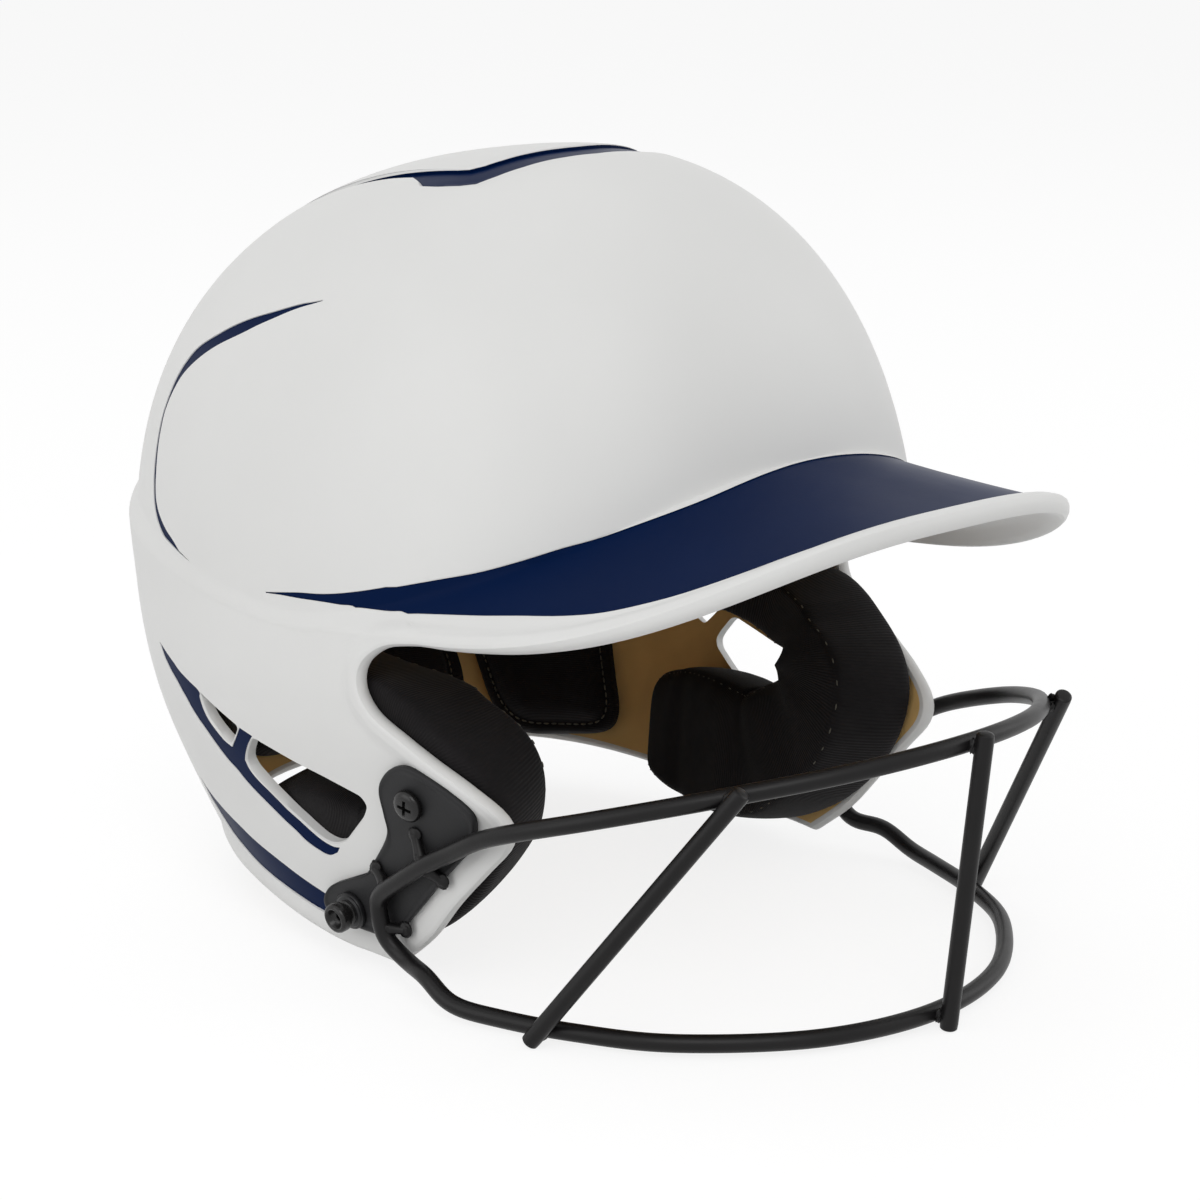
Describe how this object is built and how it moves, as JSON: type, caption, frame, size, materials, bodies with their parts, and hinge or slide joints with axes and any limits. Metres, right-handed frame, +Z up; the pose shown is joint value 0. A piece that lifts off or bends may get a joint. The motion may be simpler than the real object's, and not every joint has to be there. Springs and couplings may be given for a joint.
{
  "type": "batting helmet with face guard",
  "caption": "Domed batting helmet with brim, ear flaps, vents and padded interior, with a bolted wire face guard.",
  "frame": {"origin": "centre of the object's box, at the floor under the lowest ends of the guard's struts", "axes": "+Z up, -Y the way the face looks, +X to the wearer's left; the helmet stands as in the picture, the shell 6 degrees nose-up"},
  "size_m": [0.2088, 0.3236, 0.2343],
  "materials": {
    "shell_white": "warm white, matte moulded plastic with a fine texture",
    "shell_inside": "bare tan inner face of the shell",
    "trim_navy": "navy satin paint",
    "guard_black": "black powder-coated steel wire",
    "plate_charcoal": "matte charcoal coated steel plate",
    "screw_black": "black coated steel",
    "washer_black": "black rubber",
    "nut_steel": "plain zinc-plated steel",
    "pad_fabric": "black stretch fabric over soft foam",
    "pad_stitch": "grey overlock stitching"
  },
  "bodies": {
    "root": {"shell": "shell_white", "guard_top_bar": "guard_black", "guard_bottom_bar": "guard_black", "guard_center_strut": "guard_black", "guard_right_strut": "guard_black", "guard_left_strut": "guard_black", "guard_plate_right": "plate_charcoal", "guard_plate_left": "plate_charcoal", "guard_tabs_right": "guard_black", "guard_tabs_left": "guard_black", "upper_screws": "screw_black", "upper_nuts": "nut_steel", "snap_studs": "screw_black", "stud_washers": "washer_black", "stud_nuts": "nut_steel", "ear_pad_right": "pad_fabric", "ear_pad_left": "pad_fabric", "crown_pad": "pad_fabric", "forehead_pad": "pad_fabric", "rear_pad": "pad_fabric", "rear_pad_right": "pad_fabric", "rear_pad_left": "pad_fabric"}
  },
  "joints": []
}
